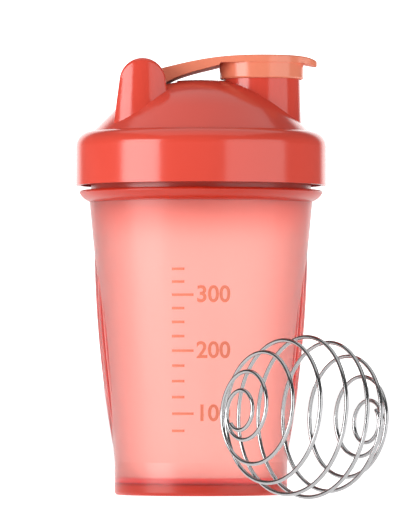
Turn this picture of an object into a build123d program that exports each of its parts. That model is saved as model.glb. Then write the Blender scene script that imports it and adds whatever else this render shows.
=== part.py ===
"""Protein shaker bottle: tapered cup, screw lid with a spout, lid seal, flip cap and loose wire whisk ball.

Frame, in millimetres: +Z up along the cup's axis, origin on the resting plane under the cup's centre.
+X points from the hinge post to the spout, and the whisk ball stands beside the cup on the -Y side.
"""
import os
from math import cos, exp, hypot, log, pi, radians, sin, sqrt, tan

from build123d import *

# --- cup --------------------------------------------------------------------------------
FOOT_R = 34.3            # outer radius of the straight foot
FOOT_H = 13.0            # height of the straight foot
FOOT_CORNER_R = 1.3
BODY_TOP_Z = 116.2       # top of the tapered body, under the bead
BODY_STEP = 0.6          # how far the body's top stands out from the neck
WALL = 1.4
FLOOR_Z = 4.0            # inner floor
FLOOR_T = 1.6
FOOT_RING_W = 3.2        # width of the ring that the cup rests on
INNER_CORNER_R = 3.0
BEAD_SETBACK = 1.4       # bead's edge inside the skirt's outer face
BEAD_H = 4.4
BEAD_TOP_R = 0.9         # rounding at the bead's upper edge
BEAD_BELLY = 0.55        # fullness of the bead's sloping underside
NECK_R = 43.7            # outer radius of the neck that carries the thread
NECK_H = 17.8
# --- grips ------------------------------------------------------------------------------
GRIP_HALF_DEG = 19.5     # half of the grip's width about the cup's axis
GRIP_HALF_H = 39.0
GRIP_RISE = 44.5         # grip's middle above the straight foot
RIB_COUNT = 7
RIB_STEP_DEG = 5.4
RIB_W = 2.2
RIB_BULGE = 1.5          # of the middle rib
RIB_EDGE_R = 0.5
RIB_SINK = 0.1           # how deep each rib's ends lie in the body
# --- thread -----------------------------------------------------------------------------
PITCH = 5.0
THREAD_TURNS = 1.1
CUP_THREAD_DEPTH = 2.4
LID_THREAD_CLEARANCE = 0.7
THREAD_BASE_W = 2.5
THREAD_CREST_W = 1.0
THREAD_ROOT = 0.4
THREAD_RISE = 6.2        # thread's start above the bead
# --- lid --------------------------------------------------------------------------------
SKIRT_THREAD_GAP = 1.5   # between the cup's thread and the skirt
SKIRT_WALL = 2.1
SKIRT_GAP = 2.0          # between the bead and the closed lid's skirt
SHOULDER_H = 21.3
SKIRT_CORNER_R = 6.0
LID_WALL = 2.0
DOME_LEDGE = 0.8         # flat ring between the shoulder's corner and the dome
DOME_SLOPE_DEG = 45.0
DOME_CROWN_R = 40.0
DOME_FLAT_R = 6.0
PLUG_LIP_T = 1.3
PLUG_LIP_H = 8.0
PLUG_LIP_CLEARANCE = 0.35
# --- lid seal ---------------------------------------------------------------------------
SEAL_T = 1.6
SEAL_W = 3.2
SEAL_CLEARANCE = 0.06
# --- spout ------------------------------------------------------------------------------
SPOUT_INSET = 18.9       # spout's axis inside the dome's foot
SPOUT_TOP_R = 15.2
SPOUT_WALL = 2.0
SPOUT_DRAFT_DEG = 1.5
SPOUT_RISE = 5.9         # spout's rim above the dome's crown
SPOUT_RIM_R = 0.6
# --- hinge post -------------------------------------------------------------------------
PIVOT_INSET = 19.9       # pivot's axis inside the dome's foot
PIVOT_DROP = 1.2         # pivot's axis below the dome's crown
EAR_R = 9.1
EAR_DRAFT_DEG = 7.5
SLOT_HALF_W = 12.5
EAR_STRAIGHT = 8.8
EAR_BULGE = 5.8
EAR_BULGE_MARGIN = 0.4   # how far the bulge's ends lie outside the post's foot
EAR_EDGE_R = 1.5
EAR_WALL = 2.2
SLOT_CHEEK_T = 3.4       # ear wall beside the slot, behind the pin hole
TRUNNION_R = 2.2
TRUNNION_L = 2.4
TRUNNION_CLEARANCE = 0.05
STOP_WEB_T = 2.4
STOP_CLEARANCE = 0.35
SLOT_FLOOR_CLEARANCE = 0.8
SLOT_REACH = 4.4         # how far the slot runs past the ears, under the arm
# --- flip cap ---------------------------------------------------------------------------
ARM_SIDE_CLEARANCE = 0.3
BOSS_R = 3.6
CAP_SKIRT_GAP = 0.55     # between the spout and the cap's skirt
CAP_SKIRT_WALL = 0.95
CAP_SKIRT_H = 6.2
CAP_PLATE_LAP = 0.6      # plate's edge outside its skirt
CAP_RIM_GAP = 0.75
CAP_PLATE_T = 2.9
CAP_TAB_REACH = 5.4
CAP_TAB_DROP = 2.1
CAP_TAB_TIP_T = 2.0
TAB_RUN_IN = 5.0         # tab's curve starts this far inside the skirt
TAB_RUN_OUT = 3.0
TAB_TIP_BACK = 0.8       # underside of the tip behind its upper edge
TAB_TIP_BULGE = 0.7
TAB_FROM_DEG = 40.0      # where the tab leaves the round plate, from +X
CAP_EDGE_R = 0.6
CAP_HEM_R = 0.7
CAP_SEAL_CLEARANCE = 0.12
CAP_PLUG_T = 1.3
CAP_PLUG_DEPTH = 4.4
CAP_PLUG_TAPER = 0.7
ARM_TOP_OVER_PIVOT = 3.7
ARM_RISE_DEG = 15.0      # slope of the arm's upper face over the pivot
ARM_CURVE_SHARE = 0.85   # how tightly the arm's upper face bends into the plate
ARM_FLARE_DEG = 8.0      # widening of the arm where it meets the plate
ARM_END_DROP = 0.9       # arm's underside below the plate where they meet
ARM_ROOT_RUN = 5.5       # arm is thickest this far past the boss
ARM_ROOT_T = 6.2
CAP_OPEN_DEG = 135.0
# --- whisk ball -------------------------------------------------------------------------
WHISK_D = 62.8           # over the wire, across the poles' line
WHISK_STRETCH = 1.04     # length along the poles' line over the diameter
WIRE_D = 1.6
WHISK_GAP = 11.6         # between the lid's skirt and the ball
WHISK_BEARING_DEG = -64.87
POLE_YAW_DEG = 53.0      # pole's direction from -Y towards -X
POLE_TILT_DEG = 4.5
TURNS = 7.75             # between the two end rings
RING_TURNS = 0.88
STEP_DEG = 19.2          # polar angle covered by each turn
RING_STEP_DEG = 2.6
EASE_TURNS = 0.07
START_DEG = 270.0
WHISK_SPANS = 48         # the wire is modelled as this many lengths, end to end
WHISK_POINTS_PER_TURN = 30
# --- worked out -------------------------------------------------------------------------
ON_FLOOR = (Align.CENTER, Align.CENTER, Align.MIN)
BODY_TOP_R = NECK_R + BODY_STEP
ROUND_CORNER = 1 - sqrt(0.5)   # height of a quarter circle over its chord, per radius
BEAD_TOP_Z = BODY_TOP_Z + BEAD_H
NECK_TOP_Z = BEAD_TOP_Z + NECK_H
NECK_BORE_R = NECK_R - WALL
GRIP_Z = FOOT_H + GRIP_RISE
THREAD_Z = BEAD_TOP_Z + THREAD_RISE
SKIRT_BORE_R = NECK_R + CUP_THREAD_DEPTH + SKIRT_THREAD_GAP
SKIRT_R = SKIRT_BORE_R + SKIRT_WALL
BEAD_R = SKIRT_R - BEAD_SETBACK
SKIRT_BOTTOM_Z = BEAD_TOP_Z + SKIRT_GAP
SHOULDER_Z = SKIRT_BOTTOM_Z + SHOULDER_H
CEILING_Z = SHOULDER_Z - LID_WALL
PLUG_LIP_R = NECK_BORE_R - PLUG_LIP_CLEARANCE
SEAL_IN_R = PLUG_LIP_R + SEAL_CLEARANCE
SEAL_OUT_R = SEAL_IN_R + SEAL_W
DOME_BASE_R = SKIRT_R - SKIRT_CORNER_R - DOME_LEDGE
DOME_TANGENT_R = DOME_FLAT_R + DOME_CROWN_R * sin(radians(DOME_SLOPE_DEG))
DOME_TOP_Z = (SHOULDER_Z + (DOME_BASE_R - DOME_TANGENT_R) * tan(radians(DOME_SLOPE_DEG))
              + DOME_CROWN_R * (1 - cos(radians(DOME_SLOPE_DEG))))
SPOUT_X = DOME_BASE_R - SPOUT_INSET
SPOUT_BORE_R = SPOUT_TOP_R - SPOUT_WALL
SPOUT_TOP_Z = DOME_TOP_Z + SPOUT_RISE
PIVOT_X = PIVOT_INSET - DOME_BASE_R
PIVOT_Z = DOME_TOP_Z - PIVOT_DROP
POST_STRAIGHT_Y = SLOT_HALF_W + EAR_STRAIGHT
POST_HALF_W = POST_STRAIGHT_Y + EAR_BULGE
POST_BOTTOM_Z = SHOULDER_Z - LID_WALL / 2
POST_FOOT_HALF_X = EAR_R + (PIVOT_Z - POST_BOTTOM_Z) * tan(radians(EAR_DRAFT_DEG))
CORE_FROM_Y = SLOT_HALF_W + SLOT_CHEEK_T
SLOT_FLOOR_Z = PIVOT_Z - BOSS_R - SLOT_FLOOR_CLEARANCE
SLOT_FRONT_X = PIVOT_X + EAR_R + SLOT_REACH
CAP_CEILING_Z = SPOUT_TOP_Z + CAP_RIM_GAP
CAP_TOP_Z = CAP_CEILING_Z + CAP_PLATE_T
CAP_SKIRT_R = SPOUT_TOP_R + CAP_SKIRT_GAP + CAP_SKIRT_WALL
CAP_PLATE_R = CAP_SKIRT_R + CAP_PLATE_LAP
CAP_TIP_X = SPOUT_X + CAP_SKIRT_R + CAP_TAB_REACH
ARM_HALF_W = SLOT_HALF_W - ARM_SIDE_CLEARANCE
WHISK_DISTANCE = SKIRT_R + WHISK_GAP + WHISK_D / 2
WHISK_X = WHISK_DISTANCE * cos(radians(WHISK_BEARING_DEG))
WHISK_Y = WHISK_DISTANCE * sin(radians(WHISK_BEARING_DEG))


def body_radius(z):
    """Outer radius of the smooth tapered body at height z."""
    share = (z - FOOT_H) / (BODY_TOP_Z - FOOT_H)
    return FOOT_R + (BODY_TOP_R - FOOT_R) * share


def line(*points):
    """Open line in the XZ plane through (across, height) points."""
    return Polyline(*[(x, 0, z) for x, z in points])


def loop(*points):
    """Closed line in the XZ plane through (across, height) points."""
    return Polyline(*[(x, 0, z) for x, z in points], close=True)


def arc(start, end, bulge):
    """Arc in the XZ plane; its middle stands bulge to the right of the straight way from start to end."""
    run, rise = end[0] - start[0], end[1] - start[1]
    share = bulge / hypot(run, rise)
    middle = ((start[0] + end[0]) / 2 + rise * share, (start[1] + end[1]) / 2 - run * share)
    return ThreePointArc(*[(x, 0, z) for x, z in (start, middle, end)])


def turned(*edges):
    """Solid of revolution about Z from a closed outline drawn in the XZ plane."""
    return revolve(make_face(edges), Axis.Z)


def disc(radius, bottom_z, height):
    """Upright cylinder on the cup's axis."""
    return Pos(0, 0, bottom_z) * Cylinder(radius, height, align=ON_FLOOR)


def thread(radius_root, radius_crest, start_z):
    """One helical thread ridge; its root radius may be outside or inside its crest radius."""
    helix = Helix(PITCH, PITCH * THREAD_TURNS, radius_root)
    half_root, half_crest = THREAD_BASE_W / 2, THREAD_CREST_W / 2
    section = loop((radius_root, -half_root), (radius_crest, -half_crest),
                   (radius_crest, half_crest), (radius_root, half_root))
    return Pos(0, 0, start_z) * sweep(make_face(section), path=helix, is_frenet=True)


# --- cup --------------------------------------------------------------------------------

def cup_shell():
    """Outer and inner skin of the cup, with the bead and the neck."""
    nose = (BEAD_R, BEAD_TOP_Z - BEAD_TOP_R)
    bead_edge = (BEAD_R - BEAD_TOP_R, BEAD_TOP_Z)
    outer = turned(
        line((0, 0), (FOOT_R, 0), (FOOT_R, FOOT_H), (BODY_TOP_R, BODY_TOP_Z)),
        arc((BODY_TOP_R, BODY_TOP_Z), nose, BEAD_BELLY),
        arc(nose, bead_edge, BEAD_TOP_R * ROUND_CORNER),
        line(bead_edge, (NECK_R, BEAD_TOP_Z), (NECK_R, NECK_TOP_Z), (0, NECK_TOP_Z), (0, 0)))
    outer = fillet(outer.edges().filter_by(GeomType.CIRCLE).sort_by(Axis.Z)[0], FOOT_CORNER_R)
    cavity = turned(loop(
        (0, FLOOR_Z), (FOOT_R - WALL - INNER_CORNER_R, FLOOR_Z),
        (FOOT_R - WALL, FLOOR_Z + INNER_CORNER_R), (FOOT_R - WALL, FOOT_H),
        (BODY_TOP_R - WALL, BODY_TOP_Z),
        (NECK_BORE_R, BEAD_TOP_Z), (NECK_BORE_R, NECK_TOP_Z + 1), (0, NECK_TOP_Z + 1)))
    recess_r = FOOT_R - FOOT_RING_W
    recess_top = FLOOR_Z - FLOOR_T
    recess = turned(loop((0, 0), (recess_r, 0), (recess_r - recess_top, recess_top), (0, recess_top)))
    return outer - cavity - recess


def grip_rib(step):
    """One upright rib of the +X grip, step places from the middle; the outer ribs are shorter and flatter."""
    fullness = 1 - (step * RIB_STEP_DEG / GRIP_HALF_DEG) ** 2
    half_h = GRIP_HALF_H * sqrt(fullness)
    ends = [(body_radius(z) - RIB_SINK, z) for z in (GRIP_Z - half_h, GRIP_Z + half_h)]
    crest = arc(ends[0], ends[1], RIB_SINK + RIB_BULGE * fullness)
    back = line(ends[1], (ends[1][0] - WALL / 2, ends[1][1]), (ends[0][0] - WALL / 2, ends[0][1]), ends[0])
    rib = extrude(make_face([crest, back]), RIB_W / 2, dir=(0, 1, 0), both=True)
    rib = fillet(rib.edges().filter_by(GeomType.CIRCLE), RIB_EDGE_R)
    return Rot(0, 0, step * RIB_STEP_DEG) * rib


def make_cup():
    cup = cup_shell()
    for i in range(RIB_COUNT):
        rib = grip_rib(i - (RIB_COUNT - 1) / 2)
        cup += rib
        cup += Rot(0, 0, 180) * rib
    return cup + thread(NECK_R - THREAD_ROOT, NECK_R + CUP_THREAD_DEPTH, THREAD_Z)


# --- lid seal ---------------------------------------------------------------------------

def make_seal():
    """Flat ring that rests on the cup's lip, around the lid's plug ring."""
    return disc(SEAL_OUT_R, NECK_TOP_Z, SEAL_T) - disc(SEAL_IN_R, NECK_TOP_Z, SEAL_T)


# --- lid --------------------------------------------------------------------------------

def dome_outline(inset, bottom_z):
    """Outline of the dome and its shoulder, moved in by inset and closed down to bottom_z."""
    slope = radians(DOME_SLOPE_DEG)
    crown_r = DOME_CROWN_R - inset
    centre_z = DOME_TOP_Z - DOME_CROWN_R
    crown = (DOME_FLAT_R, DOME_TOP_Z - inset)
    tangent = (DOME_FLAT_R + crown_r * sin(slope), centre_z + crown_r * cos(slope))
    foot_z = SHOULDER_Z - inset
    foot_r = tangent[0] + (tangent[1] - foot_z) / tan(slope)
    return [
        line((0, crown[1]), crown),
        arc(crown, tangent, -crown_r * (1 - cos(slope / 2))),
        line(tangent, (foot_r, foot_z), (foot_r, bottom_z), (0, bottom_z), (0, crown[1])),
    ]


def skirt():
    """The lid's outer skirt with its rounded shoulder, from the dome's foot down to the bead."""
    inner_corner_r = SKIRT_CORNER_R - SKIRT_WALL
    shoulder = (SKIRT_R - SKIRT_CORNER_R, SHOULDER_Z)
    corner = (SKIRT_R, SHOULDER_Z - SKIRT_CORNER_R)
    inner_corner = (SKIRT_BORE_R, CEILING_Z - inner_corner_r)
    inner_shoulder = (SKIRT_BORE_R - inner_corner_r, CEILING_Z)
    bore_r = PLUG_LIP_R - PLUG_LIP_T
    return turned(
        arc(shoulder, corner, -SKIRT_CORNER_R * ROUND_CORNER),
        line(corner, (SKIRT_R, SKIRT_BOTTOM_Z), (SKIRT_BORE_R, SKIRT_BOTTOM_Z), inner_corner),
        arc(inner_corner, inner_shoulder, inner_corner_r * ROUND_CORNER),
        line(inner_shoulder, (bore_r, CEILING_Z), (bore_r, SHOULDER_Z), shoulder))


def seal_seat():
    """Plug ring that enters the cup's mouth, and the land above it that presses on the seal."""
    seat_z = NECK_TOP_Z + SEAL_T + SEAL_CLEARANCE
    land_r = SEAL_OUT_R - SEAL_CLEARANCE
    bore_r = PLUG_LIP_R - PLUG_LIP_T
    tip_z = NECK_TOP_Z - PLUG_LIP_H
    return turned(loop(
        (bore_r, SHOULDER_Z - LID_WALL / 2), (bore_r, tip_z), (PLUG_LIP_R - PLUG_LIP_T / 2, tip_z),
        (PLUG_LIP_R, tip_z + PLUG_LIP_T), (PLUG_LIP_R, seat_z), (land_r, seat_z),
        (land_r, SHOULDER_Z - LID_WALL / 2)))


def spout():
    """Solid drinking spout with its draft, from inside the dome up to the rim."""
    height = SPOUT_TOP_Z - SHOULDER_Z
    foot_r = SPOUT_TOP_R + height * tan(radians(SPOUT_DRAFT_DEG))
    return Pos(SPOUT_X, 0, SHOULDER_Z) * Cone(foot_r, SPOUT_TOP_R, height, align=ON_FLOOR)


def spout_bore():
    """Straight drinking bore through the spout and the dome's wall."""
    return Pos(SPOUT_X, 0, NECK_TOP_Z) * Cylinder(SPOUT_BORE_R, SPOUT_TOP_Z - NECK_TOP_Z + 1, align=ON_FLOOR)


def post_profile(inset, bottom_z):
    """Side view of the hinge post: a round top about the pivot and drafted flanks down to bottom_z."""
    radius = EAR_R - inset
    draft = radians(EAR_DRAFT_DEG)
    touch_x, touch_z = radius * cos(draft), PIVOT_Z + radius * sin(draft)
    foot_x = touch_x + (touch_z - bottom_z) * tan(draft)
    left, right = (PIVOT_X - touch_x, touch_z), (PIVOT_X + touch_x, touch_z)
    face = make_face([
        arc(left, right, -radius * (1 - sin(draft))),
        line(right, (PIVOT_X + foot_x, bottom_z), (PIVOT_X - foot_x, bottom_z), left),
    ])
    return extrude(face, POST_HALF_W, dir=(0, 1, 0), both=True)


def post_plan(inset):
    """Hinge post as a drafted block: straight beside the slot, with a bulging outer side at each ear."""
    half_x = POST_FOOT_HALF_X + EAR_BULGE_MARGIN - inset
    ear_y = POST_HALF_W - inset
    front_x, back_x = PIVOT_X + half_x, PIVOT_X - half_x
    side_y = POST_STRAIGHT_Y
    outline = [
        Line((front_x, -side_y), (front_x, side_y)),
        ThreePointArc((front_x, side_y), (PIVOT_X, ear_y), (back_x, side_y)),
        Line((back_x, side_y), (back_x, -side_y)),
        ThreePointArc((back_x, -side_y), (PIVOT_X, -ear_y), (front_x, -side_y)),
    ]
    height = PIVOT_Z + EAR_R - POST_BOTTOM_Z + 1
    return Pos(0, 0, POST_BOTTOM_Z) * extrude(make_face(outline), height, dir=(0, 0, 1), taper=EAR_DRAFT_DEG)


def hinge_post():
    """Both ears with the web that stops the open flip cap, solid, before the slot and cores are cut."""
    post = post_profile(0, POST_BOTTOM_Z) & post_plan(0)
    upper = [edge for edge in post.edges() if edge.center().Z > POST_BOTTOM_Z + EAR_R]
    rims = [edge for edge in upper if abs(edge.center().Y) > POST_STRAIGHT_Y - 1]
    return fillet(rims, EAR_EDGE_R)


def post_core():
    """Hollow inside each ear, open to the inside of the lid."""
    block = post_profile(EAR_WALL, POST_BOTTOM_Z) & post_plan(EAR_WALL)
    keep = Pos(PIVOT_X, 0, POST_BOTTOM_Z) * Box(4 * EAR_R, 2 * CORE_FROM_Y, 4 * EAR_R, align=ON_FLOOR)
    return block - keep


def stop_height():
    """Height of the stop web over the pivot: the open arm's upper face just rests on its inner corner."""
    rise = radians(ARM_RISE_DEG)
    leaning = rise + radians(CAP_OPEN_DEG)
    offset = ARM_TOP_OVER_PIVOT * cos(rise)
    reach = offset * sin(leaning) - (EAR_R - STOP_WEB_T)
    return offset * cos(leaning) + reach * tan(leaning) - STOP_CLEARANCE


def hinge_slot():
    """Room for the flip cap's arm between the ears, down to the slot's floor and back to the stop web."""
    web_x = PIVOT_X - EAR_R + STOP_WEB_T
    slot = Pos(web_x, 0, SLOT_FLOOR_Z) * Box(
        SLOT_FRONT_X - web_x, 2 * SLOT_HALF_W, 3 * EAR_R, align=(Align.MIN, Align.CENTER, Align.MIN))
    over_web = Pos(web_x + 1, 0, PIVOT_Z + stop_height()) * Box(
        2 * EAR_R, 2 * SLOT_HALF_W, 2 * EAR_R, align=(Align.MAX, Align.CENTER, Align.MIN))
    return slot + over_web


def pin_hole(side):
    """Blind hole for the flip cap's pin in the ear on one side."""
    depth = TRUNNION_L + TRUNNION_CLEARANCE
    hole = Cylinder(TRUNNION_R + TRUNNION_CLEARANCE, depth + 1, rotation=(90, 0, 0))
    return Pos(PIVOT_X, side * (SLOT_HALF_W + (depth - 1) / 2), PIVOT_Z) * hole


def make_lid():
    lid = turned(*dome_outline(0, CEILING_Z)) + skirt() + seal_seat() + spout() + hinge_post()
    inside = turned(*dome_outline(LID_WALL, NECK_TOP_Z))
    inside &= disc(PLUG_LIP_R - PLUG_LIP_T, NECK_TOP_Z, 2 * SHOULDER_H)
    slot_walls = Pos(PIVOT_X - EAR_R, 0, SLOT_FLOOR_Z - LID_WALL) * Box(
        SLOT_FRONT_X + LID_WALL - PIVOT_X + EAR_R, 2 * (SLOT_HALF_W + LID_WALL), 2 * EAR_R,
        align=(Align.MIN, Align.CENTER, Align.MIN))
    lid -= inside - slot_walls
    lid -= [spout_bore(), hinge_slot(), post_core(), pin_hole(1), pin_hole(-1)]
    lid += thread(SKIRT_BORE_R + THREAD_ROOT, NECK_R + LID_THREAD_CLEARANCE, THREAD_Z - PITCH / 2)
    rims = [e for e in lid.edges().filter_by(GeomType.CIRCLE) if abs(e.center().Z - SPOUT_TOP_Z) < 0.01]
    return fillet(rims, SPOUT_RIM_R)


# --- flip cap ---------------------------------------------------------------------------

def cap_side_view():
    """Side view of the arm, the plate and the thumb tab as one outline, from the pivot to the tab's tip."""
    rise = tan(radians(ARM_RISE_DEG))
    root_top = (PIVOT_X, PIVOT_Z + ARM_TOP_OVER_PIVOT)
    run = (CAP_TOP_Z - root_top[1]) / rise
    meet_x = root_top[0] + run
    tab_x = SPOUT_X + CAP_SKIRT_R - TAB_RUN_IN
    tip = (CAP_TIP_X, CAP_TOP_Z - CAP_TAB_DROP)
    tip_under = (CAP_TIP_X - TAB_TIP_BACK, tip[1] - CAP_TAB_TIP_T)
    skirt_x = CAP_SKIRT_R - CAP_SKIRT_WALL / 2
    arm_end_x = SPOUT_X - CAP_SKIRT_R
    arm_end = (arm_end_x, CAP_CEILING_Z - ARM_END_DROP)
    arm_root_x = PIVOT_X + BOSS_R + ARM_ROOT_RUN
    arm_root = (arm_root_x, root_top[1] + (arm_root_x - PIVOT_X) * rise - ARM_ROOT_T)
    boss_under = (PIVOT_X, PIVOT_Z - BOSS_R)
    arm_top = Bezier(
        (root_top[0], 0, root_top[1]),
        (root_top[0] + run * ARM_CURVE_SHARE, 0, root_top[1] + run * rise * ARM_CURVE_SHARE),
        (SPOUT_X - (SPOUT_X - meet_x) * ARM_CURVE_SHARE, 0, CAP_TOP_Z), (SPOUT_X, 0, CAP_TOP_Z))
    tab_top = Bezier((tab_x, 0, CAP_TOP_Z), (CAP_TIP_X - TAB_RUN_OUT, 0, CAP_TOP_Z), (tip[0], 0, tip[1]))
    arm_under = Spline(
        (arm_end[0], 0, arm_end[1]), (arm_root[0], 0, arm_root[1]), (boss_under[0], 0, boss_under[1]),
        tangents=[(-1, 0, -rise), (-1, 0, 0)])
    return make_face([
        arm_top,
        line((SPOUT_X, CAP_TOP_Z), (tab_x, CAP_TOP_Z)),
        tab_top,
        arc(tip, tip_under, -TAB_TIP_BULGE),
        line(tip_under, (SPOUT_X + skirt_x, CAP_CEILING_Z), (SPOUT_X - skirt_x, CAP_CEILING_Z), arm_end),
        arm_under,
        line(boss_under, root_top),
    ])


def cap_plan():
    """Plan of the flip cap: arm, round plate over the spout and the thumb tab, one smooth outline."""
    flare, tab = radians(ARM_FLARE_DEG), radians(TAB_FROM_DEG)
    middle = (pi / 2 + flare + tab) / 2
    arm_start = (PIVOT_X - BOSS_R, ARM_HALF_W)
    arm_end = (SLOT_FRONT_X, ARM_HALF_W)
    touch = (SPOUT_X - CAP_PLATE_R * sin(flare), CAP_PLATE_R * cos(flare))
    side = (SPOUT_X + CAP_PLATE_R * cos(middle), CAP_PLATE_R * sin(middle))
    tab_start = (SPOUT_X + CAP_PLATE_R * cos(tab), CAP_PLATE_R * sin(tab))
    half = [
        Line(arm_start, arm_end),
        Spline(arm_end, touch, tangents=[(1, 0), (cos(flare), sin(flare))]),
        ThreePointArc(touch, side, tab_start),
        Spline(tab_start, (CAP_TIP_X, 0), tangents=[(sin(tab), -cos(tab)), (0, -1)]),
    ]
    back = Line(arm_start, (arm_start[0], -arm_start[1]))
    outline = make_face([*half, *[mirror(edge, about=Plane.XZ) for edge in half], back])
    return Pos(0, 0, SHOULDER_Z) * extrude(outline, CAP_TOP_Z - SHOULDER_Z + 1, dir=(0, 0, 1))


def cap_plug():
    """Ring that closes the spout from inside, slightly narrower at its lower end."""
    top_r = SPOUT_BORE_R - CAP_SEAL_CLEARANCE
    top_z = CAP_CEILING_Z + CAP_PLATE_T / 2
    bottom_z = SPOUT_TOP_Z - CAP_PLUG_DEPTH
    ring = turned(loop(
        (top_r - CAP_PLUG_T, top_z), (top_r - CAP_PLUG_T, bottom_z), (top_r - CAP_PLUG_TAPER, bottom_z),
        (top_r, SPOUT_TOP_Z - SPOUT_RIM_R), (top_r - CAP_PLUG_TAPER, top_z)))
    return Pos(SPOUT_X, 0, 0) * ring


def make_flip_cap():
    body = extrude(cap_side_view(), CAP_PLATE_R + 1, dir=(0, 1, 0), both=True) & cap_plan()
    upper_faces = [face for face in body.faces() if face.normal_at().Z > 0.5]
    rim = [edge for face in upper_faces for edge in face.edges() if abs((edge % 0.5).Y) < 0.9]
    body = fillet(rim, CAP_EDGE_R)
    body += Pos(PIVOT_X, 0, PIVOT_Z) * Cylinder(BOSS_R, 2 * ARM_HALF_W, rotation=(90, 0, 0))
    skirt_bottom_z = CAP_CEILING_Z - CAP_SKIRT_H
    skirt_bore_r = CAP_SKIRT_R - CAP_SKIRT_WALL
    hem_h = CAP_SKIRT_H + CAP_PLATE_T / 2
    hem = Pos(SPOUT_X, 0, skirt_bottom_z) * Cylinder(CAP_SKIRT_R, hem_h, align=ON_FLOOR)
    hem = fillet(hem.edges().sort_by(Axis.Z)[0], CAP_HEM_R)
    body += hem
    body -= Pos(SPOUT_X, 0, skirt_bottom_z) * Cylinder(skirt_bore_r, CAP_SKIRT_H, align=ON_FLOOR)
    body += cap_plug()
    pin = Cylinder(TRUNNION_R, 2 * (SLOT_HALF_W + TRUNNION_L), rotation=(90, 0, 0))
    return body + Pos(PIVOT_X, 0, PIVOT_Z) * pin


# --- whisk ball -------------------------------------------------------------------------

def eased_ramp(x):
    """Zero for negative x and x for positive x, rounded over EASE_TURNS."""
    eases = x / EASE_TURNS
    return x if eases > 60 else EASE_TURNS * log(1 + exp(eases))


def polar_angle(turn):
    """Degrees from pole to pole covered by the wire since turn 0; the end rings cover much less per turn."""
    return RING_STEP_DEG * turn + (STEP_DEG - RING_STEP_DEG) * (eased_ramp(turn) - eased_ramp(turn - TURNS))


def whisk_point(turn):
    """Point of the wire's centre line about the ball's centre; the end rings begin at turn 0 and at TURNS."""
    polar = radians(90 + polar_angle(turn) - polar_angle(TURNS / 2))
    around = radians(START_DEG - 360 * turn)
    radius = (WHISK_D - WIRE_D) / 2
    yaw, tilt = radians(POLE_YAW_DEG), radians(POLE_TILT_DEG)
    pole = Vector(-sin(yaw) * cos(tilt), -cos(yaw) * cos(tilt), sin(tilt))
    right = Vector(cos(yaw), -sin(yaw), 0)
    up = pole.cross(right)
    across = up * cos(around) + right * sin(around)
    return pole * (WHISK_STRETCH * radius * cos(polar)) + across * (radius * sin(polar))


def make_whisk():
    """The wire as end-to-end lengths along one curve, standing on the resting plane beside the cup."""
    first, last = -RING_TURNS, TURNS + RING_TURNS
    steps = round(WHISK_POINTS_PER_TURN * (last - first))
    points = [whisk_point(first + (last - first) * i / steps) for i in range(steps + 1)]
    centre_line = Edge.make_spline(points)
    spans = []
    for i in range(WHISK_SPANS):
        path = centre_line.trim(i / WHISK_SPANS, (i + 1) / WHISK_SPANS)
        section = Plane(origin=path @ 0, z_dir=path % 0) * Circle(WIRE_D / 2)
        spans.append(sweep(section, path=path))
    lowest = min(span.bounding_box().min.Z for span in spans)
    return Pos(WHISK_X, WHISK_Y, -lowest) * Compound(spans)


PARTS = {
    "cup": make_cup,
    "lid_seal": make_seal,
    "lid": make_lid,
    "flip_cap": make_flip_cap,
    "whisk_ball": make_whisk,
}

os.makedirs("parts", exist_ok=True)
for name, make in PARTS.items():
    export_step(make(), f"parts/{name}.step")
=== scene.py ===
"""Looks of a protein shaker bottle: frosted cup, glossy lid and flip cap, printed scale and wire whisk ball.

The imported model's frame is in metres: +Z up the cup's axis, +X from the hinge post to the spout, and the
whisk ball on the -Y side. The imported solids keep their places; this file dresses them, prints the scale and
winds the whisk's wire. The scale and the whisk ball hold their sizes in millimetres, all else is in metres.
"""

import logging
import math
from dataclasses import dataclass
from enum import Enum

import bmesh
import bpy
from mathutils import Matrix, Vector


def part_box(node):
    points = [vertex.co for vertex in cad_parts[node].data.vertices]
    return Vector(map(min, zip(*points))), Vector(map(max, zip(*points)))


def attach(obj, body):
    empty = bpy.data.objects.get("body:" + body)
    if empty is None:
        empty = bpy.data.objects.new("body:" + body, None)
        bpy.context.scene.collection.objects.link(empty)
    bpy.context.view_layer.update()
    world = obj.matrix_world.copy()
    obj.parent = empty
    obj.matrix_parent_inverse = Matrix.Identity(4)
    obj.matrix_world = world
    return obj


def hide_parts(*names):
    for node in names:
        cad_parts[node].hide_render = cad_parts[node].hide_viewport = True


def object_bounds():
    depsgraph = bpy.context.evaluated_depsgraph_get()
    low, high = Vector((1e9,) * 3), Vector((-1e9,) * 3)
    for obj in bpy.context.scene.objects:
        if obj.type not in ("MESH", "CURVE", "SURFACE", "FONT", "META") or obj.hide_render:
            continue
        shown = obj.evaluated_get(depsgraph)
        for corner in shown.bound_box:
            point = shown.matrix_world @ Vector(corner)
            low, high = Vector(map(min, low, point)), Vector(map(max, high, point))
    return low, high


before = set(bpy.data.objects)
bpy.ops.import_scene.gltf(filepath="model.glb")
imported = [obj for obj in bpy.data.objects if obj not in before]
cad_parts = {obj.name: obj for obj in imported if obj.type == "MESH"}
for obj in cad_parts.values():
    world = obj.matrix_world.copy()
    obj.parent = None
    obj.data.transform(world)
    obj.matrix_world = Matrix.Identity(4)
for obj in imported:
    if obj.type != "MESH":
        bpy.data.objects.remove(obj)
CAD_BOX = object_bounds()
MM = 0.001
PLASTIC_IOR = 1.49
log = logging.getLogger("shaker_bottle")

Colour = tuple[float, float, float]
Socket = bpy.types.NodeSocket


# --- node trees -----------------------------------------------------------------------------------

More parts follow.
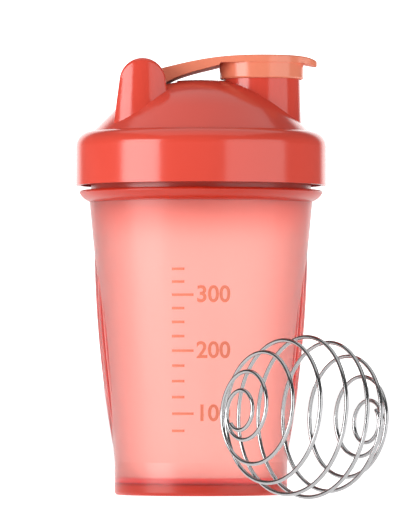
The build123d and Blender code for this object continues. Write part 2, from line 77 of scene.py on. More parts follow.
class MaterialTree:
    """One material's node tree around a Principled shader."""

    def __init__(self, name: str) -> None:
        """Starts the material with its shader and output."""
        self.material = bpy.data.materials.new(name)
        self.material.use_nodes = True
        self.tree = self.material.node_tree
        self.tree.nodes.clear()
        self.output = self.node("ShaderNodeOutputMaterial")
        self.shader = self.node("ShaderNodeBsdfPrincipled")
        self.link(self.shader.outputs["BSDF"], self.output.inputs["Surface"])
        self.object_coordinates = self.node("ShaderNodeTexCoord").outputs["Object"]

    def node(self, kind: str, **settings: object) -> bpy.types.Node:
        """Adds a node and sets its properties.

        Args:
            kind: the node's type name.
            settings: properties of the node, by name.
        Returns:
            The new node.
        """
        made = self.tree.nodes.new(kind)
        for name, value in settings.items():
            setattr(made, name, value)
        return made

    def link(self, source: Socket, target: Socket) -> None:
        """Joins two sockets."""
        self.tree.links.new(source, target)

    def set(self, **values: object) -> None:
        """Sets constants on the shader's own sockets; underscores in a name stand for spaces."""
        for name, value in values.items():
            self.shader.inputs[name.replace("_", " ")].default_value = value

    def noise(self, scale: float, detail: float = 2.0, stretch: Colour = (1.0, 1.0, 1.0)) -> Socket:
        """Adds a noise pattern on the object's own coordinates.

        Args:
            scale: cells per metre.
            detail: octaves of finer noise.
            stretch: scale factors along X, Y and Z.
        Returns:
            The noise's value.
        """
        mapping = self.node("ShaderNodeMapping")
        mapping.inputs["Scale"].default_value = stretch
        self.link(self.object_coordinates, mapping.inputs["Vector"])
        noise = self.node("ShaderNodeTexNoise")
        noise.inputs["Scale"].default_value = scale
        noise.inputs["Detail"].default_value = detail
        self.link(mapping.outputs["Vector"], noise.inputs["Vector"])
        return noise.outputs["Fac"]

    def spread(self, value: Socket, low: float, high: float, start: float = 0.3, end: float = 0.7) -> Socket:
        """Maps a pattern onto a range.

        Args:
            value: the pattern.
            low: result where the pattern is low.
            high: result where the pattern is high.
            start: pattern value that gives the low result.
            end: pattern value that gives the high result.
        Returns:
            The mapped value.
        """
        ranged = self.node("ShaderNodeMapRange")
        ranged.inputs["From Min"].default_value = start
        ranged.inputs["From Max"].default_value = end
        ranged.inputs["To Min"].default_value = low
        ranged.inputs["To Max"].default_value = high
        self.link(value, ranged.inputs["Value"])
        return ranged.outputs["Result"]

    def two_tone(self, value: Socket, first: Colour | Socket, second: Colour | Socket) -> Socket:
        """Mixes two colours by a pattern.

        Args:
            value: the pattern, 0 to 1.
            first: colour, or pattern of colour, where the pattern is low.
            second: colour, or pattern of colour, where the pattern is high.
        Returns:
            The mixed colour.
        """
        mix = self.node("ShaderNodeMix", data_type="RGBA")
        for name, side in (("A", first), ("B", second)):
            if isinstance(side, Socket):
                self.link(side, mix.inputs[name])
            else:
                mix.inputs[name].default_value = (*side, 1.0)
        self.link(value, mix.inputs["Factor"])
        return mix.outputs["Result"]

    def height_step(self, start_z: float, end_z: float, first: float, second: float) -> Socket:
        """Changes smoothly from one value to another between two heights.

        Args:
            start_z: height where the change begins.
            end_z: height where it is done.
            first: value below the change.
            second: value above it.
        Returns:
            The value at each height.
        """
        split = self.node("ShaderNodeSeparateXYZ")
        self.link(self.object_coordinates, split.inputs["Vector"])
        step = self.node("ShaderNodeMapRange", interpolation_type="SMOOTHSTEP")
        step.inputs["From Min"].default_value = start_z
        step.inputs["From Max"].default_value = end_z
        step.inputs["To Min"].default_value = first
        step.inputs["To Max"].default_value = second
        self.link(split.outputs["Z"], step.inputs["Value"])
        return step.outputs["Result"]

    def facing_down(self, value: float, full: float = -0.8, none: float = -0.4) -> Socket:
        """Gives a value to faces that look down, and nothing to the others.

        Args:
            value: the value of a face that looks straight down.
            full: upward part of the normal, up to which a face gets the whole value.
            none: upward part of the normal, from which a face gets nothing.
        Returns:
            The value on each face.
        """
        normal = self.node("ShaderNodeTexCoord").outputs["Normal"]
        split = self.node("ShaderNodeSeparateXYZ")
        self.link(normal, split.inputs["Vector"])
        return self.spread(split.outputs["Z"], value, 0.0, full, none)

    def larger(self, first: Socket, second: Socket) -> Socket:
        """Returns the larger of two values."""
        pick = self.node("ShaderNodeMath", operation="MAXIMUM")
        self.link(first, pick.inputs[0])
        self.link(second, pick.inputs[1])
        return pick.outputs["Value"]

    def bump(self, height: Socket, depth: float) -> None:
        """Raises the surface by a pattern.

        Args:
            height: the pattern, 0 to 1.
            depth: height of the relief in metres.
        """
        bump = self.node("ShaderNodeBump")
        bump.inputs["Distance"].default_value = depth
        self.link(height, bump.inputs["Height"])
        self.link(bump.outputs["Normal"], self.shader.inputs["Normal"])


def shade(colour: Colour, factor: float) -> Colour:
    """Returns the colour times a factor."""
    return tuple(channel * factor for channel in colour)


# --- finishes -------------------------------------------------------------------------------------

@dataclass(frozen=True)
class MouldedPlastic:
    """Opaque glossy moulded plastic with faint flow marks and orange peel."""

    name: str
    colour: Colour
    roughness: float = 0.16
    underside_roughness: float = 0.16
    flow_scale: float = 45.0
    flow_stretch: Colour = (1.0, 1.0, 0.45)
    flow_contrast: float = 0.035
    glossy_share: float = 0.85
    dull_share: float = 1.2
    peel_scale: float = 900.0
    peel_depth: float = 0.000006

    def make(self) -> bpy.types.Material:
        """Builds the material."""
        tree = MaterialTree(self.name)
        flow = tree.noise(self.flow_scale, 3.0, self.flow_stretch)
        darker = shade(self.colour, 1 - self.flow_contrast)
        lighter = shade(self.colour, 1 + self.flow_contrast)
        tree.link(tree.two_tone(flow, darker, lighter), tree.shader.inputs["Base Color"])
        gloss = tree.spread(flow, self.roughness * self.glossy_share, self.roughness * self.dull_share)
        roughness = tree.larger(gloss, tree.facing_down(self.underside_roughness))
        tree.link(roughness, tree.shader.inputs["Roughness"])
        tree.bump(tree.noise(self.peel_scale, 1.0), self.peel_depth)
        tree.set(IOR=PLASTIC_IOR)
        return tree.material


@dataclass(frozen=True)
class FrostedPlastic:
    """Translucent moulded plastic with a fine frost on both faces, tinted by its depth.

    The thick foot, and everything from the bead up, are less clear and deeper in colour than the thin wall;
    from the bead up this is partly painted shade, where the lid cuts off the light from behind.
    The wall just below the bead turns redder towards it, as painted shade under the lid.
    """

    name: str
    colour: Colour
    # Deeper colour of the thick foot and of the bead band; at the bead it is partly painted shade, where the
    # lid cuts off the light from behind.
    thick_colour: Colour
    depth_colour: Colour
    depth_density: float
    foot_top_z: float = 3.2 * MM
    foot_blend_h: float = 3.0 * MM
    bead_z: float = 116.2 * MM
    bead_blend_h: float = 0.8 * MM
    # Painted shade: the wall just under the bead is mixed towards this redder colour, standing in for the
    # shade under the lid.
    shaded_colour: Colour = (1.0, 0.25, 0.15)
    shaded_from_z: float = 98.0 * MM
    shaded_share: float = 0.45
    flow_scale: float = 30.0
    flow_stretch: Colour = (1.0, 1.0, 0.3)
    flow_contrast: float = 0.03
    gloss_spread: float = 0.08
    colour_end: float = 0.6
    roughness: float = 0.3
    transmission: float = 0.95
    thick_transmission: float = 0.35
    frost_scale: float = 2600.0
    frost_depth: float = 0.00001

    def make(self) -> bpy.types.Material:
        """Builds the material."""
        tree = MaterialTree(self.name)
        flow = tree.noise(self.flow_scale, 3.0, self.flow_stretch)
        foot = tree.height_step(self.foot_top_z, self.foot_top_z + self.foot_blend_h, 1.0, 0.0)
        # The bead band is partly painted shade: besides the thicker plastic, it stands in for the lid
        # blocking the light from behind.
        bead = tree.height_step(self.bead_z - self.bead_blend_h, self.bead_z, 0.0, 1.0)
        thick = tree.larger(foot, bead)
        # Painted shade: the wall turns redder from a little below the bead up to the bead, standing in for
        # the lid's shade.
        painted_lid_shade = tree.height_step(self.shaded_from_z, self.bead_z, 0.0, self.shaded_share)
        wall_tone = tree.two_tone(flow, shade(self.colour, 1 - self.flow_contrast), self.colour)
        wall_tone = tree.two_tone(painted_lid_shade, wall_tone, self.shaded_colour)
        thick_and_painted_shade_share = tree.spread(thick, 0.0, 1.0, 0.0, self.colour_end)
        tone = tree.two_tone(thick_and_painted_shade_share, wall_tone, self.thick_colour)
        tree.link(tone, tree.shader.inputs["Base Color"])
        weight = tree.spread(thick, self.transmission, self.thick_transmission, self.colour_end, 1.0)
        tree.link(weight, tree.shader.inputs["Transmission Weight"])
        smooth, rough = self.roughness * (1 - self.gloss_spread), self.roughness * (1 + self.gloss_spread)
        tree.link(tree.spread(flow, smooth, rough), tree.shader.inputs["Roughness"])
        tree.bump(tree.noise(self.frost_scale, 2.0), self.frost_depth)
        tree.set(IOR=PLASTIC_IOR)
        absorption = tree.node("ShaderNodeVolumeAbsorption")
        absorption.inputs["Color"].default_value = (*self.depth_colour, 1.0)
        absorption.inputs["Density"].default_value = self.depth_density
        tree.link(absorption.outputs["Volume"], tree.output.inputs["Volume"])
        return tree.material


@dataclass(frozen=True)
class PolishedSteel:
    """Bright drawn wire with fine polishing marks."""

    name: str
    colour: Colour = (0.41, 0.41, 0.415)
    roughness: float = 0.08
    mark_scale: float = 1800.0
    mark_depth: float = 0.000003
    smudge_scale: float = 160.0
    smudge_contrast: float = 0.06
    clean_share: float = 0.7
    smudged_share: float = 1.4

    def make(self) -> bpy.types.Material:
        """Builds the material."""
        tree = MaterialTree(self.name)
        marks = tree.noise(self.mark_scale, 3.0)
        smudges = tree.noise(self.smudge_scale, 2.0)
        tone = tree.two_tone(smudges, shade(self.colour, 1 - self.smudge_contrast), self.colour)
        tree.link(tone, tree.shader.inputs["Base Color"])
        gloss = tree.spread(smudges, self.roughness * self.clean_share, self.roughness * self.smudged_share)
        tree.link(gloss, tree.shader.inputs["Roughness"])
        tree.bump(marks, self.mark_depth)
        tree.set(Metallic=1.0)
        return tree.material


@dataclass(frozen=True)
class SoftSilicone:
    """Matt silicone rubber."""

    name: str
    colour: Colour = (0.75, 0.75, 0.73)
    mottle_scale: float = 120.0
    mottle_contrast: float = 0.07
    roughness: tuple[float, float] = (0.55, 0.7)
    grain_scale: float = 3000.0
    grain_depth: float = 0.000004

    def make(self) -> bpy.types.Material:
        """Builds the material."""
        tree = MaterialTree(self.name)
        mottle = tree.noise(self.mottle_scale, 2.0)
        tone = tree.two_tone(mottle, shade(self.colour, 1 - self.mottle_contrast), self.colour)
        tree.link(tone, tree.shader.inputs["Base Color"])
        tree.link(tree.spread(mottle, *self.roughness), tree.shader.inputs["Roughness"])
        tree.bump(tree.noise(self.grain_scale, 1.0), self.grain_depth)
        return tree.material


@dataclass(frozen=True)
class PrintInk:
    """Opaque screen-printed ink, a little uneven."""

    name: str
    colour: Colour
    cover_scale: float = 700.0
    cover_contrast: float = 0.06
    roughness: tuple[float, float] = (0.36, 0.5)
    relief: float = 0.000006

    def make(self) -> bpy.types.Material:
        """Builds the material."""
        tree = MaterialTree(self.name)
        cover = tree.noise(self.cover_scale, 3.0)
        tone = tree.two_tone(cover, shade(self.colour, 1 - self.cover_contrast), self.colour)
        tree.link(tone, tree.shader.inputs["Base Color"])
        tree.link(tree.spread(cover, *self.roughness), tree.shader.inputs["Roughness"])
        tree.bump(cover, self.relief)
        return tree.material


@dataclass(frozen=True)
class PaleFloor:
    """Plain white studio surface."""

    name: str = "pale_floor"
    colour: Colour = (0.9, 0.9, 0.9)
    glow: float = 0.8
    grain_scale: float = 60.0
    grain_contrast: float = 0.005
    roughness: float = 0.9

    def make(self) -> bpy.types.Material:
        """Builds the material."""
        tree = MaterialTree(self.name)
        grain = tree.noise(self.grain_scale, 2.0)
        tone = tree.two_tone(grain, shade(self.colour, 1 - self.grain_contrast), self.colour)
        tree.link(tone, tree.shader.inputs["Base Color"])
        tree.set(Roughness=self.roughness, Emission_Color=(1.0, 1.0, 1.0, 1.0), Emission_Strength=self.glow)
        return tree.material


# --- pieces ---------------------------------------------------------------------------------------

def dress(node: str, material: bpy.types.Material) -> bpy.types.Object:
    """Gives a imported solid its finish.

    Args:
        node: the solid's name.
        material: the finish.
    Returns:
        The solid's object.
    """
    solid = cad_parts[node]
    solid.data.materials.clear()
    solid.data.materials.append(material)
    return solid


@dataclass
class Bottle:
    """Cup, lid, seal and flip cap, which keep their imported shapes."""

    # The cup's deep colour is thicker plastic at the foot, and partly painted shade at the bead.
    cup: FrostedPlastic = FrostedPlastic(
        "cup_frosted", colour=(1.0, 0.94, 0.925), thick_colour=(0.6, 0.03, 0.008),
        depth_colour=(1.0, 0.28, 0.17), depth_density=460.0)
    lid: MouldedPlastic = MouldedPlastic("lid_gloss", (0.6, 0.057, 0.035), roughness=0.17)
    flip_cap: MouldedPlastic = MouldedPlastic(
        "flip_cap_gloss", (0.72, 0.21, 0.12), roughness=0.2, underside_roughness=0.65)
    seal: SoftSilicone = SoftSilicone("seal_silicone")

    def build(self) -> None:
        """Dresses every solid of the bottle."""
        finishes = {"cup": self.cup, "lid": self.lid, "flip_cap": self.flip_cap, "lid_seal": self.seal}
        for node, finish in finishes.items():
            dress(node, finish.make())
            log.info("%s dressed as %s", node, finish.name)


# --- geometry trees -------------------------------------------------------------------------------

class GeometryTree:
    """One Geometry Nodes tree with named inputs, run once on an object and baked to a plain mesh."""

    def __init__(self, name: str) -> None:
        """Starts the tree with its geometry input and output."""
        self.tree = bpy.data.node_groups.new(name, "GeometryNodeTree")
        self.tree.interface.new_socket("Geometry", in_out="INPUT", socket_type="NodeSocketGeometry")
        self.tree.interface.new_socket("Geometry", in_out="OUTPUT", socket_type="NodeSocketGeometry")
        self.inputs = self.tree.nodes.new("NodeGroupInput")
        self.output = self.tree.nodes.new("NodeGroupOutput")
        self.values: dict[str, object] = {}

    def add_input(self, name: str, kind: str, value: object) -> Socket:
        """Adds a named input.

        Args:
            name: the input's name.
            kind: its socket type, such as Float or Material.
            value: what it is set to when the tree runs.
        Returns:
            The socket inside the tree.
        """
        socket = self.tree.interface.new_socket(name, in_out="INPUT", socket_type=f"NodeSocket{kind}")
        self.values[socket.identifier] = value
        return self.inputs.outputs[name]

    def node(
            self, kind: str, links: dict[str | int, Socket] | None = None,
            **settings: object) -> bpy.types.Node:
        """Adds a node.

        Args:
            kind: the node's type name without its prefix.
            links: sockets joined to its inputs, by input name or number.
            settings: properties of the node, by name.
        Returns:
            The new node.
        """
        made = self.tree.nodes.new(kind)
        for name, value in settings.items():
            setattr(made, name, value)
        for target, source in (links or {}).items():
            self.tree.links.new(source, made.inputs[target])
        return made

    def maths(self, operation: str, *values: Socket | float) -> Socket:
        """Adds a maths node.

        Args:
            operation: its operation.
            values: sockets or constants for its inputs, in order.
        Returns:
            Its result.
        """
        made = self.node("ShaderNodeMath", operation=operation)
        for number, value in enumerate(values):
            if isinstance(value, (int, float)):
                made.inputs[number].default_value = value
            else:
                self.tree.links.new(value, made.inputs[number])
        return made.outputs[0]

    def finish(self, geometry: Socket) -> None:
        """Ends the tree in real geometry with the Material input on it.

        Args:
            geometry: the geometry to finish.
        """
        material = self.inputs.outputs["Material"]
        real = self.node("GeometryNodeRealizeInstances", {"Geometry": geometry})
        dressed = self.node("GeometryNodeSetMaterial", {"Geometry": real.outputs[0], "Material": material})
        self.tree.links.new(dressed.outputs[0], self.output.inputs[0])

    def bake(self, source: bpy.types.Object, name: str) -> bpy.types.Object:
        """Runs the tree on an object and keeps the result as a plain mesh.

        Args:
            source: the object that the tree starts from; it is removed.
            name: the piece's name.
        Returns:
            The piece, at the origin.
        """
        modifier = source.modifiers.new(self.tree.name, "NODES")
        modifier.node_group = self.tree
        for identifier, value in self.values.items():
            modifier[identifier] = value
        evaluated = source.evaluated_get(bpy.context.evaluated_depsgraph_get())
        mesh = bpy.data.meshes.new_from_object(evaluated)
        mesh.name = name
        source.modifiers.remove(modifier)
        bpy.data.objects.remove(source)
        piece = bpy.data.objects.new(name, mesh)
        bpy.context.scene.collection.objects.link(piece)
        return piece


def loose_points(name: str, points: list[tuple[float, float, float]]) -> bpy.types.Object:
    """Makes a mesh object of loose points.

    Args:
        name: its name.
        points: the points, in metres.
    Returns:
        The object.
    """
    mesh = bpy.data.meshes.new(name)
    mesh.from_pydata(points, [], [])
    made = bpy.data.objects.new(name, mesh)
    bpy.context.scene.collection.objects.link(made)
    return made


# --- printed volume scale -------------------------------------------------------------------------

class Mark(Enum):
    """Lengths of the scale's lines, in millimetres."""

    SHORT = 5.0
    LONG = 8.6


@dataclass
class VolumeScale:
    """Printed lines and numbers on the cup's front, at the heights that the volumes reach inside."""

    ink: PrintInk = PrintInk("scale_ink", (0.68, 0.17, 0.095))
    foot_r: float = 34.3
    foot_top_z: float = 13.0
    top_r: float = 44.3
    top_z: float = 116.2
    wall: float = 1.4
    floor_z: float = 4.0
    first_ml: int = 75
    last_ml: int = 350
    step_ml: int = 25
    numbered_ml: int = 100
    left: float = -11.5
    line_t: float = 1.0
    line_columns: int = 12
    digit_h: float = 6.6
    digit_left: float = -1.9
    digit_weight: float = 0.18
    digit_share: float = 0.73
    digit_steps: int = 6
    number_w: float = 19.8
    ink_t: float = 0.09
    sunk: float = 0.04
    strip_w: float = 0.8

    @property
    def slope(self) -> float:
        """Growth of the cup's radius per height."""
        return (self.top_r - self.foot_r) / (self.top_z - self.foot_top_z)

    def height_of(self, volume_ml: float) -> float:
        """Finds how high a volume stands in the cup.

        Args:
            volume_ml: the volume.
        Returns:
            Height over the resting plane in millimetres.
        """
        bore = self.foot_r - self.wall
        below = math.pi * bore ** 2 * (self.foot_top_z - self.floor_z)
        cubed = bore ** 3 + 3 * self.slope * (volume_ml * 1000 - below) / math.pi
        return self.foot_top_z + (cubed ** (1 / 3) - bore) / self.slope

    def volumes(self) -> range:
        """Returns every marked volume."""
        return range(self.first_ml, self.last_ml + 1, self.step_ml)

    def wrap(self, tree: GeometryTree, geometry: Socket) -> Socket:
        """Wraps a flat print round the tapered cup: X is arc length, Y depth into the cup and Z height.

        Args:
            tree: the tree to add to.
            geometry: the flat print.
        Returns:
            The wrapped print.
        """
        base_r = self.foot_r - self.slope * self.foot_top_z
        radius = tree.add_input("Radius at zero height", "Float", base_r * MM)
        slope = tree.add_input("Radius growth", "Float", self.slope)
        position = tree.node("GeometryNodeInputPosition")
        parts = tree.node("ShaderNodeSeparateXYZ", {0: position.outputs[0]})
        across, depth, height = parts.outputs
        surface = tree.maths("MULTIPLY_ADD", height, slope, radius)
        angle = tree.maths("DIVIDE", across, surface)
        reach = tree.maths("SUBTRACT", surface, depth)
        x = tree.maths("MULTIPLY", reach, tree.maths("SINE", angle))
        y = tree.maths("MULTIPLY", tree.maths("MULTIPLY", reach, tree.maths("COSINE", angle)), -1.0)
        wrapped = tree.node("ShaderNodeCombineXYZ", {0: x, 1: y, 2: height})
        placed = tree.node("GeometryNodeSetPosition", {"Geometry": geometry, "Position": wrapped.outputs[0]})
        return placed.outputs[0]

    def build_lines(self, material: bpy.types.Material) -> bpy.types.Object:
        """Makes the scale's lines.

        Args:
            material: the ink.
        Returns:
            The lines as one piece.
        """
        places = [(self.left * MM, 0.0, self.height_of(volume) * MM) for volume in self.volumes()]
        source = loose_points("scale_points", places)
        lengths = source.data.attributes.new("length", "FLOAT", "POINT")
        for entry, volume in zip(lengths.data, self.volumes()):
            entry.value = (Mark.SHORT if volume % self.numbered_ml else Mark.LONG).value * MM
        tree = GeometryTree("scale_lines")
        tree.add_input("Material", "Material", material)
        thickness = tree.add_input("Line thickness", "Float", self.line_t * MM)
        ink_t = tree.add_input("Ink thickness", "Float", (self.ink_t + self.sunk) * MM)
        columns = tree.add_input("Columns", "Int", self.line_columns)
        size = tree.node("ShaderNodeCombineXYZ", {1: ink_t, 2: thickness})
        size.inputs[0].default_value = 1.0
        bar = tree.node("GeometryNodeMeshCube", {"Size": size.outputs[0], "Vertices X": columns})
        from_left = tree.node("GeometryNodeTransform", {"Geometry": bar.outputs[0]})
        from_left.inputs["Translation"].default_value = (0.5, (self.sunk - self.ink_t) / 2 * MM, 0.0)
        length = tree.node("GeometryNodeInputNamedAttribute", data_type="FLOAT")
        length.inputs["Name"].default_value = "length"
        scale = tree.node("ShaderNodeCombineXYZ", {0: length.outputs["Attribute"]})
        scale.inputs[1].default_value = 1.0
        scale.inputs[2].default_value = 1.0
        points = tree.inputs.outputs["Geometry"]
        bars = tree.node("GeometryNodeInstanceOnPoints", {
            "Points": points, "Instance": from_left.outputs[0], "Scale": scale.outputs[0]})
        real = tree.node("GeometryNodeRealizeInstances", {"Geometry": bars.outputs[0]})
        tree.finish(self.wrap(tree, real.outputs[0]))
        return tree.bake(source, "scale_lines")

    def flat_digits(self) -> bpy.types.Object:
        """Lays out the numbers as flat solid characters, cut into narrow strips so that they bend."""
        sheet = bmesh.new()
        for volume in self.volumes():
            if volume % self.numbered_ml:
                continue
            text = bpy.data.curves.new("number", "FONT")
            text.body = str(volume)
            text.align_y = "CENTER"
            text.size = self.digit_h / self.digit_share * MM
            text.offset = self.digit_weight * MM
            text.extrude = (self.ink_t + self.sunk) / 2 * MM
            text.resolution_u = self.digit_steps
            number = bpy.data.objects.new("number", text)
            bpy.context.scene.collection.objects.link(number)
            evaluated = number.evaluated_get(bpy.context.evaluated_depsgraph_get())
            mesh = bpy.data.meshes.new_from_object(evaluated)
            turn = Matrix.Rotation(math.pi / 2, 4, "X")
            shift = Vector((self.digit_left, (self.sunk - self.ink_t) / 2, self.height_of(volume))) * MM
            mesh.transform(Matrix.Translation(shift) @ turn)
            sheet.from_mesh(mesh)
            bpy.data.objects.remove(number)
            bpy.data.meshes.remove(mesh)
        strips = int(self.number_w / self.strip_w)
        for strip in range(strips):
            place = ((self.digit_left + strip * self.strip_w) * MM, 0.0, 0.0)
            geometry = [*sheet.verts, *sheet.edges, *sheet.faces]
            bmesh.ops.bisect_plane(sheet, geom=geometry, plane_co=place, plane_no=(1.0, 0.0, 0.0))
        mesh = bpy.data.meshes.new("digits")
        sheet.to_mesh(mesh)
        sheet.free()
        digits = bpy.data.objects.new("digits", mesh)
        bpy.context.scene.collection.objects.link(digits)
        return digits

    def build_digits(self, material: bpy.types.Material) -> bpy.types.Object:
        """Makes the numbers.

        Args:
            material: the ink.
        Returns:
            The numbers as one piece.
        """
        source = self.flat_digits()
        tree = GeometryTree("scale_digits")
        tree.add_input("Material", "Material", material)
        tree.finish(self.wrap(tree, tree.inputs.outputs["Geometry"]))
        return tree.bake(source, "scale_digits")

    def build(self) -> None:
        """Prints the whole scale on the cup."""
        material = self.ink.make()
        for piece in (self.build_lines(material), self.build_digits(material)):
            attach(piece, "cup")
            log.info("%s printed, %d faces", piece.name, len(piece.data.polygons))


# --- whisk ball -----------------------------------------------------------------------------------

@dataclass
class WhiskBall:
    """One wire wound as a ball: even turns between two small end rings."""

    steel: PolishedSteel = PolishedSteel("whisk_steel")
    outer_d: float = 62.8
    stretch: float = 1.04
    wire_d: float = 1.6
    pole_yaw_deg: float = 53.0
    pole_tilt_deg: float = 4.5
    turns: float = 7.75
    ring_turns: float = 0.88
    step_deg: float = 19.2
    ring_step_deg: float = 2.6
    ease_turns: float = 0.07
    straight_after: float = 60.0
    start_deg: float = 270.0
    points_per_turn: int = 72
    wire_sides: int = 18

    def ramp(self, turn: float) -> float:
        """Returns zero for a negative turn and the turn itself for a positive one, with a soft bend."""
        eases = turn / self.ease_turns
        return turn if eases > self.straight_after else self.ease_turns * math.log1p(math.exp(eases))

    def covered(self, turn: float) -> float:
        """Returns the degrees from pole to pole that the wire has covered at a turn."""
        even = self.ramp(turn) - self.ramp(turn - self.turns)
        return self.ring_step_deg * turn + (self.step_deg - self.ring_step_deg) * even

    def point(self, turn: float) -> Vector:
        """Finds a point of the wire's centre line.

        Args:
            turn: how many turns from the first end ring.
        Returns:
            The point about the ball's centre, in millimetres.
        """
        polar = math.radians(90 + self.covered(turn) - self.covered(self.turns / 2))
        around = math.radians(self.start_deg - 360 * turn)
        radius = (self.outer_d - self.wire_d) / 2
        yaw, tilt = math.radians(self.pole_yaw_deg), math.radians(self.pole_tilt_deg)
        pole = Vector((-math.sin(yaw) * math.cos(tilt), -math.cos(yaw) * math.cos(tilt), math.sin(tilt)))
        right = Vector((math.cos(yaw), -math.sin(yaw), 0.0))
        up = pole.cross(right)
        across = up * math.cos(around) + right * math.sin(around)
        return pole * (self.stretch * radius * math.cos(polar)) + across * (radius * math.sin(polar))

    def centre_line(self) -> bpy.types.Object:
        """Makes the wire's centre line as a curve object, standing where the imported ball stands."""
        first, last = -self.ring_turns, self.turns + self.ring_turns
        steps = round(self.points_per_turn * (last - first))
        points = [self.point(first + (last - first) * step / steps) for step in range(steps + 1)]
        low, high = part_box("whisk_ball")
        own_low = [min(point[axis] for point in points) for axis in range(3)]
        own_high = [max(point[axis] for point in points) for axis in range(3)]
        centre = [(low[axis] + high[axis] - (own_low[axis] + own_high[axis]) * MM) / 2 for axis in range(3)]
        curve = bpy.data.curves.new("whisk_line", "CURVE")
        curve.dimensions = "3D"
        spline = curve.splines.new("POLY")
        spline.points.add(len(points) - 1)
        for entry, point in zip(spline.points, points):
            entry.co = (*(Vector(centre) + point * MM), 1.0)
        made = bpy.data.objects.new("whisk_line", curve)
        bpy.context.scene.collection.objects.link(made)
        return made

    def build(self) -> None:
        """Makes the wire along its centre line."""
        tree = GeometryTree("whisk_wire")
        tree.add_input("Material", "Material", self.steel.make())
        radius = tree.add_input("Wire radius", "Float", self.wire_d / 2 * MM)
        sides = tree.add_input("Wire sides", "Int", self.wire_sides)
        section = tree.node("GeometryNodeCurvePrimitiveCircle", {"Radius": radius, "Resolution": sides})
        wire = tree.node("GeometryNodeCurveToMesh", {
            "Curve": tree.inputs.outputs["Geometry"], "Profile Curve": section.outputs["Curve"]})
        wire.inputs["Fill Caps"].default_value = True
        smooth = tree.node("GeometryNodeSetShadeSmooth", {"Geometry": wire.outputs[0]})
        tree.finish(smooth.outputs[0])
        piece = tree.bake(self.centre_line(), "whisk_wire")
        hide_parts("whisk_ball")
        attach(piece, "whisk_ball")
        log.info("%s wound, %d faces", piece.name, len(piece.data.polygons))


# --- studio ---------------------------------------------------------------------------------------

@dataclass(frozen=True)
class Softbox:
    """A tall rectangular lamp that faces the bottle."""

    name: str
    azimuth_deg: float
    width_deg: float
    radiance: float
    distance: float = 1.2
    bottom_z: float = 0.0
    top_z: float = 0.62

    def build(self) -> None:
        """Adds the lamp. Azimuth 0 is the camera's side, and positive turns towards +X."""
        angle = math.radians(self.azimuth_deg)
        outward = Vector((math.sin(angle), -math.cos(angle), 0.0))
        width = 2 * self.distance * math.tan(math.radians(self.width_deg / 2))
        height = self.top_z - self.bottom_z
        data = bpy.data.lights.new(self.name, "AREA")
        data.shape = "RECTANGLE"
        data.size, data.size_y = width, height
        data.energy = self.radiance * math.pi * width * height
        lamp = bpy.data.objects.new(self.name, data)
        lamp.location = outward * self.distance + Vector((0, 0, (self.top_z + self.bottom_z) / 2))
        lamp.rotation_euler = outward.to_track_quat("Z", "Y").to_euler()
        bpy.context.scene.collection.objects.link(lamp)


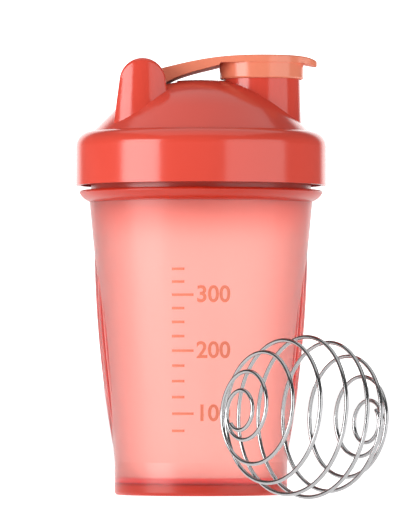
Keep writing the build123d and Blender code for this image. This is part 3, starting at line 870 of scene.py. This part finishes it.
@dataclass
class Studio:
    """Pale floor, white backdrop, dim front room, two softboxes, an overhead lamp and the camera."""

    left_box: Softbox = Softbox("left_softbox", azimuth_deg=-57.0, width_deg=38.0, radiance=7.0)
    right_box: Softbox = Softbox("right_softbox", azimuth_deg=52.0, width_deg=60.0, radiance=2.1)
    floor_half: float = 30.0
    front_light: float = 0.12
    side_light: float = 0.15
    backdrop_light: float = 1.8
    light_changes: tuple[float, float, float, float] = (0.35, 0.55, 0.885, 0.95)
    overhead_light: float = 0.92
    overhead_size: float = 1.6
    overhead_z: float = 1.3
    view_height: float = 0.2016
    aim: tuple[float, float, float] = (-0.0004, 0.0, 0.0954)
    camera_distance: float = 2.2
    camera_z: float = 0.048
    sensor: float = 36.0
    clip_end: float = 20.0

    def build(self) -> None:
        """Builds the whole set."""
        self.build_floor()
        self.build_world()
        self.left_box.build()
        self.right_box.build()
        self.build_overhead()
        self.build_camera()

    def build_overhead(self) -> None:
        """Adds a large dim lamp over the bottle."""
        data = bpy.data.lights.new("overhead", "AREA")
        data.size = self.overhead_size
        data.energy = self.overhead_light * math.pi * self.overhead_size ** 2
        lamp = bpy.data.objects.new("overhead", data)
        lamp.location = (0.0, 0.0, self.overhead_z)
        bpy.context.scene.collection.objects.link(lamp)

    def build_floor(self) -> None:
        """Adds a wide plain floor under the resting plane."""
        mesh = bpy.data.meshes.new("floor")
        h, z = self.floor_half, CAD_BOX[0][2]
        mesh.from_pydata([(-h, -h, z), (h, -h, z), (h, h, z), (-h, h, z)], [], [(0, 1, 2, 3)])
        floor = bpy.data.objects.new("floor", mesh)
        mesh.materials.append(PaleFloor().make())
        bpy.context.scene.collection.objects.link(floor)

    def build_world(self) -> None:
        """White behind the bottle, dim on the camera's side, and plain white to the camera itself."""
        world = bpy.data.worlds.new("studio")
        bpy.context.scene.world = world
        world.use_nodes = True
        tree = world.node_tree
        tree.nodes.clear()
        direction = tree.nodes.new("ShaderNodeTexCoord")
        parts = tree.nodes.new("ShaderNodeSeparateXYZ")
        tree.links.new(direction.outputs["Generated"], parts.inputs["Vector"])
        ramp = tree.nodes.new("ShaderNodeValToRGB")
        ramp.color_ramp.interpolation = "EASE"
        forward = tree.nodes.new("ShaderNodeMapRange")
        forward.inputs["From Min"].default_value = -1.0
        tree.links.new(parts.outputs["Y"], forward.inputs["Value"])
        tree.links.new(forward.outputs["Result"], ramp.inputs["Fac"])
        brightest = self.backdrop_light
        lights = (self.front_light, self.side_light, self.side_light, brightest)
        for place, light in zip(self.light_changes, lights):
            stop = ramp.color_ramp.elements.new(place)
            stop.color = (*(light / brightest,) * 3, 1.0)
        ramp.color_ramp.elements.remove(ramp.color_ramp.elements[0])
        ramp.color_ramp.elements.remove(ramp.color_ramp.elements[-1])
        scaled = tree.nodes.new("ShaderNodeMath")
        scaled.operation = "MULTIPLY"
        scaled.inputs[1].default_value = brightest
        tree.links.new(ramp.outputs["Color"], scaled.inputs[0])
        path = tree.nodes.new("ShaderNodeLightPath")
        seen = tree.nodes.new("ShaderNodeMath")
        seen.operation = "MAXIMUM"
        tree.links.new(path.outputs["Is Camera Ray"], seen.inputs[0])
        tree.links.new(scaled.outputs["Value"], seen.inputs[1])
        background = tree.nodes.new("ShaderNodeBackground")
        background.inputs["Color"].default_value = (1.0, 1.0, 1.0, 1.0)
        tree.links.new(seen.outputs["Value"], background.inputs["Strength"])
        output = tree.nodes.new("ShaderNodeOutputWorld")
        tree.links.new(background.outputs["Background"], output.inputs["Surface"])
        bpy.context.scene.view_settings.view_transform = "Standard"

    def build_camera(self) -> None:
        """Adds a long-lens camera a little above the floor, looking along +Y."""
        data = bpy.data.cameras.new("camera")
        data.sensor_width = self.sensor
        data.lens = self.sensor * self.camera_distance / self.view_height
        data.clip_end = self.clip_end
        camera = bpy.data.objects.new("camera", data)
        aim = Vector(self.aim)
        camera.location = Vector((aim.x, aim.y - self.camera_distance, self.camera_z))
        camera.rotation_euler = (aim - camera.location).to_track_quat("-Z", "Y").to_euler()
        bpy.context.scene.collection.objects.link(camera)
        bpy.context.scene.camera = camera


def main() -> None:
    """Builds every sub-assembly in order."""
    logging.basicConfig(level=logging.INFO, format="%(message)s")
    Studio().build()
    Bottle().build()
    VolumeScale().build()
    WhiskBall().build()


if __name__ == "__main__":
    main()
